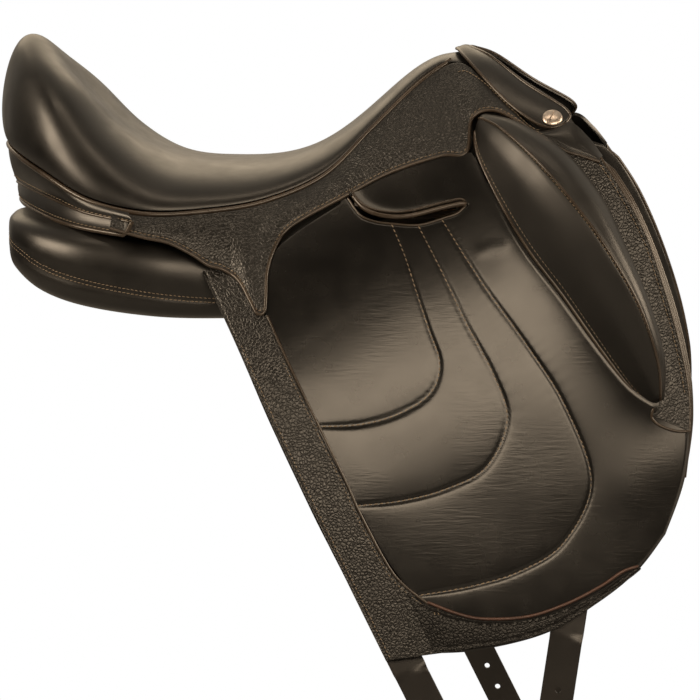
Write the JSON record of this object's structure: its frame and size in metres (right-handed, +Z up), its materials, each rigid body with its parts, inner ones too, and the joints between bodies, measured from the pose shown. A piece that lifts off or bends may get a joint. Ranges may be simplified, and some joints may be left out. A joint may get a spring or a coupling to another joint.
{
  "type": "dressage saddle",
  "caption": "Black leather dressage saddle with a deep seat, single lifting flaps with padded thigh channels and tall knee blocks, long billets and recessed stirrup bars.",
  "frame": {"origin": "on the horse's back, in the saddle's middle plane under the deepest part of the seat", "axes": "+X towards the pommel, +Y to the horse's left, +Z up"},
  "size_m": [0.5995, 0.472, 0.6456],
  "materials": {
    "smooth_leather": "satin",
    "grained_leather": "pebbled",
    "panel_leather": "satin",
    "billet_leather": "satin",
    "steel": "satin",
    "nickel": "polished",
    "beech_laminate": "satin",
    "foam": "matte",
    "webbing": "matte"
  },
  "bodies": {
    "saddle": {"bar_lining_left": "smooth_leather", "bar_lining_right": "smooth_leather", "bar_rivets": "steel", "billet_web_front_left": "billet_leather", "billet_web_front_right": "billet_leather", "billet_web_rear_left": "billet_leather", "billet_web_rear_right": "billet_leather", "cantle_facing": "smooth_leather", "catch_pins": "steel", "front_facing": "smooth_leather", "front_panel_left": "panel_leather", "front_panel_right": "panel_leather", "gullet_lining": "webbing", "gullet_plate": "steel", "head_plate": "steel", "head_rivets": "steel", "panel_left": "panel_leather", "panel_right": "panel_leather", "pommel_cover": "smooth_leather", "pommel_studs": "nickel", "rear_facing": "smooth_leather", "seat_cover": "smooth_leather", "seat_foam": "foam", "seat_webbing": "webbing", "seat_welt": "smooth_leather", "skirt_left": "grained_leather", "skirt_right": "grained_leather", "spring_steels": "steel", "stirrup_bar_left": "steel", "stirrup_bar_right": "steel", "tree_frame": "beech_laminate", "tree_head": "beech_laminate"},
    "bar_catch_left": {"bar_catch_left": "steel"},
    "bar_catch_right": {"bar_catch_right": "steel"},
    "billet_front_left": {"billet_front_left": "billet_leather"},
    "billet_front_right": {"billet_front_right": "billet_leather"},
    "billet_rear_left": {"billet_rear_left": "billet_leather"},
    "billet_rear_right": {"billet_rear_right": "billet_leather"},
    "flap_left": {"bottom_guard_left": "grained_leather", "flap_left": "grained_leather", "flap_pad_left": "smooth_leather", "knee_block_left": "smooth_leather", "knee_strip_left": "grained_leather", "rear_strip_left": "grained_leather", "slot_guard_left": "smooth_leather"},
    "flap_right": {"bottom_guard_right": "grained_leather", "flap_pad_right": "smooth_leather", "flap_right": "grained_leather", "knee_block_right": "smooth_leather", "knee_strip_right": "grained_leather", "rear_strip_right": "grained_leather", "slot_guard_right": "smooth_leather"}
  },
  "joints": [
    {"name": "flap_lift_right", "type": "hinge", "parent": "saddle", "child": "flap_right", "pos_m": [0.12413, -0.11338, 0.12532], "axis": [-0.8136, -0.2425, -0.5284], "range_deg": [0, 60]},
    {"name": "billet_front_swing_right", "type": "hinge", "parent": "saddle", "child": "billet_front_right", "pos_m": [0.2947, -0.19536, -0.24446], "axis": [0.9897, 0, -0.1432], "range_deg": [-45, 45]},
    {"name": "billet_rear_swing_right", "type": "hinge", "parent": "saddle", "child": "billet_rear_right", "pos_m": [0.16988, -0.22412, -0.27074], "axis": [0.8935, 0, 0.449], "range_deg": [-45, 45]},
    {"name": "catch_turn_right", "type": "hinge", "parent": "saddle", "child": "bar_catch_right", "pos_m": [0.12949, -0.1115, 0.106], "axis": [0, 1, 0], "range_deg": [0, 60]},
    {"name": "flap_lift_left", "type": "hinge", "parent": "saddle", "child": "flap_left", "pos_m": [0.12413, 0.11338, 0.12532], "axis": [0.8136, -0.2425, 0.5284], "range_deg": [0, 60]},
    {"name": "billet_front_swing_left", "type": "hinge", "parent": "saddle", "child": "billet_front_left", "pos_m": [0.2947, 0.19536, -0.24446], "axis": [0.9897, 0, -0.1432], "range_deg": [-45, 45]},
    {"name": "billet_rear_swing_left", "type": "hinge", "parent": "saddle", "child": "billet_rear_left", "pos_m": [0.16988, 0.22412, -0.27074], "axis": [0.8935, 0, 0.449], "range_deg": [-45, 45]},
    {"name": "catch_turn_left", "type": "hinge", "parent": "saddle", "child": "bar_catch_left", "pos_m": [0.12949, 0.1115, 0.106], "axis": [0, 1, 0], "range_deg": [0, 60]}
  ]
}
